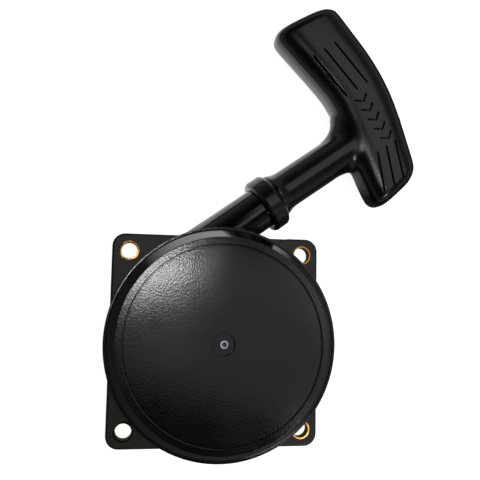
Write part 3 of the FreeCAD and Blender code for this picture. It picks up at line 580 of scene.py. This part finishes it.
# Moulded T-grip: bar and stem melted into one skin, eased where they meet, then bored and marked.
def makeGrip():
    bar = makeBar()
    stem = spun("stem", grip["stem"])
    neck = spun("neck", grip["neck"])
    for vertex in neck.data.vertices:
        vertex.co.z *= grip["neckFlat"]
    body = joinPieces([bar, stem, neck])
    applyModifier(body, "REMESH", mode="VOXEL", voxel_size=grip["voxel"] * mm)
    junction = body.vertex_groups.new(name="junction")
    stemRadius = grip["stem"][-2][1] * mm
    for vertex in body.data.vertices:
        fromAxis = math.hypot(vertex.co.y, vertex.co.z)
        alongStem = vertex.co.x - grip["junctionPlace"] * mm - grip["junctionLean"] * vertex.co.y
        away = math.hypot(alongStem, fromAxis - stemRadius)
        weight = max(0, 1 - away / (grip["junction"] * mm))
        junction.add([vertex.index], weight, "REPLACE")
    applyModifier(body, "SMOOTH", factor=0.5, iterations=grip["junctionRounds"],
                  vertex_group="junction")
    body.vertex_groups.clear()
    applyModifier(body, "SMOOTH", factor=0.5, iterations=grip["skinRounds"])
    bore = spun("bore", grip["bore"], 48)
    marks = makeMarks()
    for cutter in (bore, marks):
        applyModifier(body, "BOOLEAN", operation="DIFFERENCE", object=cutter, solver="EXACT")
        removePiece(cutter)
    tilted = (Matrix.Translation((grip["pivot"] * mm, 0, 0))
              @ Matrix.Rotation(math.radians(grip["tilt"]), 4, "Z")
              @ Matrix.Translation((-grip["pivot"] * mm, 0, 0)))
    body.data.transform(ropeFrame @ tilted)
    body.data.materials.clear()
    body.data.materials.append(gripNylon)
    smooth(body, 35)
    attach(body, "handle")
    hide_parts("grip")
    print("grip", len(body.data.polygons), "faces")


rope = {
    "radius": 1.75, "braidHeight": 0.11,          # valleys between strands, as a share of radius
    "roundShare": 0.6,                            # roundness of a strand against its weaving
    "strandsEachWay": 8, "cellLength": 1.9,       # sixteen-strand braid
    "ringStep": 0.5, "pointsRound": 32,
    "halfTurns": 8, "turnPitch": 3.6,
    "bendRadius": 9.0, "bendAngle": 60.0,
    "pullLength": 700.0, "stretchFrom": 20.0, "stretchTo": 90.0,
    "knotTurns": 1.8, "knotRadius": 2.1, "knotRise": 2.2,
}


# How high the braid's strands stand at a spot on the rope, 0 in the valleys and 1 on the crowns.
def braidHeight(distance, turn):
    strands = rope["strandsEachWay"]
    rightHand = strands * turn + distance / rope["cellLength"]
    leftHand = strands * turn - distance / rope["cellLength"]
    heights = []
    for own, other, sign in ((rightHand, leftHand, 1), (leftHand, rightHand, -1)):
        rounding = math.sqrt(max(0, 1 - (2 * (own % 1) - 1) ** 2))
        over = sign * (-1) ** int(math.floor(own)) * math.sin(math.pi * other)
        heights.append(rope["roundShare"] * rounding + (1 - rope["roundShare"]) * over)
    return max(heights)


# A braided rope: a grid rolled round a line. placeAt gives a point on the line and two
# directions across it; the map coordinates are real distances along and round the rope.
def ropeSkin(name, length, placeAt, stretched=None):
    deselectAll()
    rings = int(length / rope["ringStep"])
    bpy.ops.mesh.primitive_grid_add(x_subdivisions=rings, y_subdivisions=rope["pointsRound"],
                                    size=1, location=(0, 0, 0))
    piece = bpy.context.object
    piece.name = name
    spots = [(vertex.co.x + 0.5, vertex.co.y + 0.5) for vertex in piece.data.vertices]
    mapped = piece.data.uv_layers.active.data
    for loop in piece.data.loops:
        part, turn = spots[loop.vertex_index]
        mapped[loop.index].uv = (part * length * mm, turn * math.tau * rope["radius"] * mm)
    known = {}
    for vertex, (part, turn) in zip(piece.data.vertices, spots):
        distance = part * length
        if distance not in known:
            known[distance] = placeAt(distance if stretched is None else stretched(distance))
        middle, side, lift = known[distance]
        valley = rope["braidHeight"] * (1 - braidHeight(distance, turn))
        radius = rope["radius"] * (1 - valley)
        angle = math.tau * turn
        vertex.co = (middle + (side * math.cos(angle) + lift * math.sin(angle)) * radius) * mm
    pick(piece)
    bpy.ops.object.mode_set(mode="EDIT")
    bpy.ops.mesh.select_all(action="SELECT")
    bpy.ops.mesh.remove_doubles(threshold=0.000001)
    bpy.ops.mesh.fill_holes(sides=0)
    bpy.ops.mesh.normals_make_consistent(inside=False)
    bpy.ops.object.mode_set(mode="OBJECT")
    piece.data.materials.append(ropeBraid)
    smooth(piece, 60)
    return piece


upward = Vector((0, 0, 1))


# The straight run, measured from where it leaves the reel.
def onLead(distance):
    return ropeStart / mm + along * distance, across, upward


# Where a ring of the fully pulled rope lies at rest, so that the braid is even when pulled.
def atRest(pulled):
    low, high = 0.0, leadLength / mm
    for guess in range(40):
        middle = (low + high) / 2
        part = (middle - rope["stretchFrom"]) / (rope["stretchTo"] - rope["stretchFrom"])
        part = min(max(part, 0), 1)
        if middle + rope["pullLength"] * part ** 2 * (3 - 2 * part) < pulled:
            low = middle
        else:
            high = middle
    return (low + high) / 2


# The rope on the reel: half turns that shrink by half a pitch, then a bend in to the knot.
def windingRuns():
    radius = ropeRadius / mm
    runs = []
    for number in range(rope["halfTurns"]):
        outward = 1 if number % 2 == 0 else -1
        shift = 0 if outward == 1 else rope["turnPitch"] / 2
        runs.append((-across * shift, outward, radius, 180.0))
        radius -= rope["turnPitch"] / 2
    runs.append((across * (radius - rope["bendRadius"]), 1, rope["bendRadius"], rope["bendAngle"]))
    return runs


def onWinding(distance):
    for centre, outward, radius, sweep in windingRuns():
        reach = math.radians(sweep) * radius
        if distance <= reach + 0.001:
            break
        distance -= reach
    turned = Matrix.Rotation(min(distance, reach) / radius, 3, "Z") @ (across * outward)
    level = upward * (ropeStart.z / mm)
    return centre + level + turned * radius, turned, upward


# The stopper knot: the rope goes round itself nearly twice inside the grip's pocket.
def onKnot(distance):
    turnLength = math.hypot(math.tau * rope["knotRadius"], rope["knotRise"])
    angle = math.tau * distance / turnLength
    outward = across * math.cos(angle) + upward * math.sin(angle)
    rise = rope["radius"] + rope["knotRise"] * distance / turnLength
    spot = ropeStart / mm + along * (leadLength / mm + rise) + outward * rope["knotRadius"]
    return spot, outward, along


def makeRope():
    pulled = leadLength / mm + rope["pullLength"]
    lead = ropeSkin("ropeLead", pulled, onLead, atRest)
    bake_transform(lead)
    onReel = sum(math.radians(sweep) * radius for centre, outward, radius, sweep in windingRuns())
    winding = ropeSkin("ropeWinding", onReel, onWinding)
    knotLength = rope["knotTurns"] * math.hypot(math.tau * rope["knotRadius"], rope["knotRise"])
    knot = ropeSkin("ropeKnot", knotLength, onKnot)
    for piece, body, node in ((lead, "case", "rope_lead"), (winding, "reel", "rope_winding"),
                              (knot, "handle", "rope_knot")):
        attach(piece, body)
        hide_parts(node)
    print("rope", round(onReel), "mm on the reel,", len(winding.data.polygons), "faces there")


makeGrip()
makeRope()
makeFloor()
makeRoom()
makeLamps()
makeCamera()
bpy.context.scene.view_settings.view_transform = "Standard"
print("studio made")
